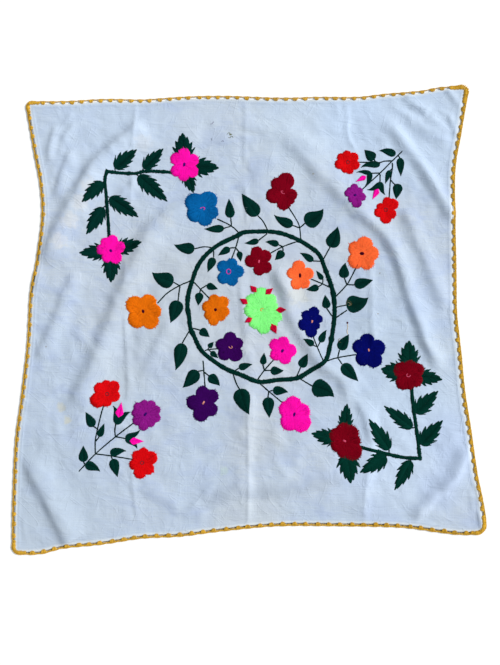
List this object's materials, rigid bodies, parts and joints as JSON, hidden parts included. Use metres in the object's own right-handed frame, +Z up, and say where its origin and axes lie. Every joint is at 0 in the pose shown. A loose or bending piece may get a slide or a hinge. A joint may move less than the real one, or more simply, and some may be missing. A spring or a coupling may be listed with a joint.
{
  "type": "embroidered tablecloth",
  "caption": "Square cotton tablecloth laid flat with low soft folds, embroidered with a flower wreath and corner sprays, edged in crochet.",
  "frame": {"origin": "middle of the cloth's bounding box, on the surface it lies on", "axes": "+Z up out of the embroidered face, +Y towards the top of the cloth as pictured, +X towards its right"},
  "size_m": [1.0288, 1.0507, 0.0109],
  "materials": {
    "ground_cloth": "plain woven cotton, matt, bluish white",
    "crochet_edging": "crocheted yarn, matt, golden yellow"
  },
  "bodies": {
    "root": {"ground_cloth": "ground_cloth", "crochet_edging": "crochet_edging"}
  },
  "joints": []
}
